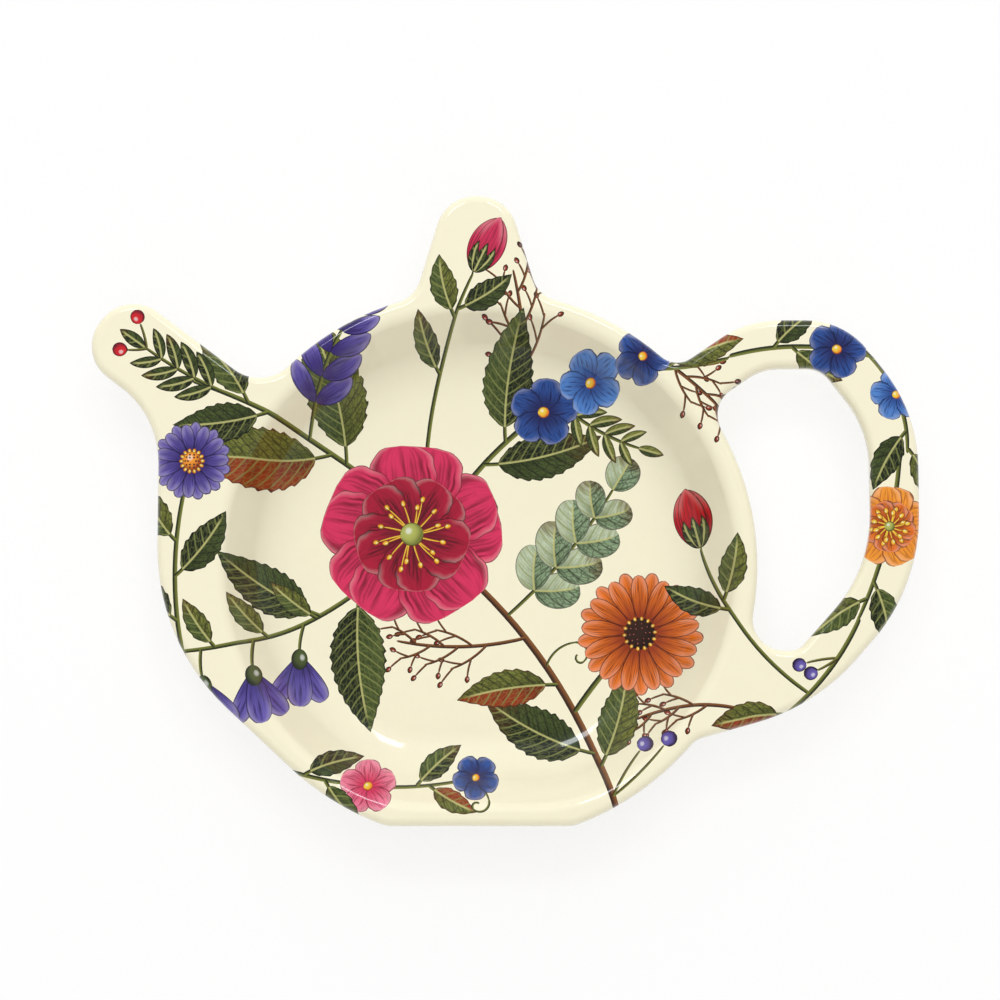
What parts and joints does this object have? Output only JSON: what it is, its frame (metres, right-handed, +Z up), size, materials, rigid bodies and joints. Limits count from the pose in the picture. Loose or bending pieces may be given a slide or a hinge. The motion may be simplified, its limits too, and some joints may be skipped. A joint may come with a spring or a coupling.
{
  "type": "tea bag rest",
  "caption": "Teapot-shaped shallow dish with a round well for a used tea bag, a flat lip with spout, loop handle and lid knob, printed top under a clear glaze.",
  "frame": {"origin": "on the table, under the middle of the round well, in the foot's flat face", "axes": "+X to the loop handle, +Y to the lid knob, +Z up out of the well"},
  "size_m": [0.1198, 0.0916, 0.012],
  "materials": {
    "cream_melamine": "smooth moulded cream melamine, glossy",
    "printed_melamine_foil": "cream resin-soaked paper with a printed pattern of flowers and leaves",
    "clear_melamine_glaze": "clear melamine coat, high gloss"
  },
  "bodies": {
    "root": {"moulded_dish": "cream_melamine", "printed_foil": "printed_melamine_foil", "clear_glaze": "clear_melamine_glaze"}
  },
  "joints": []
}
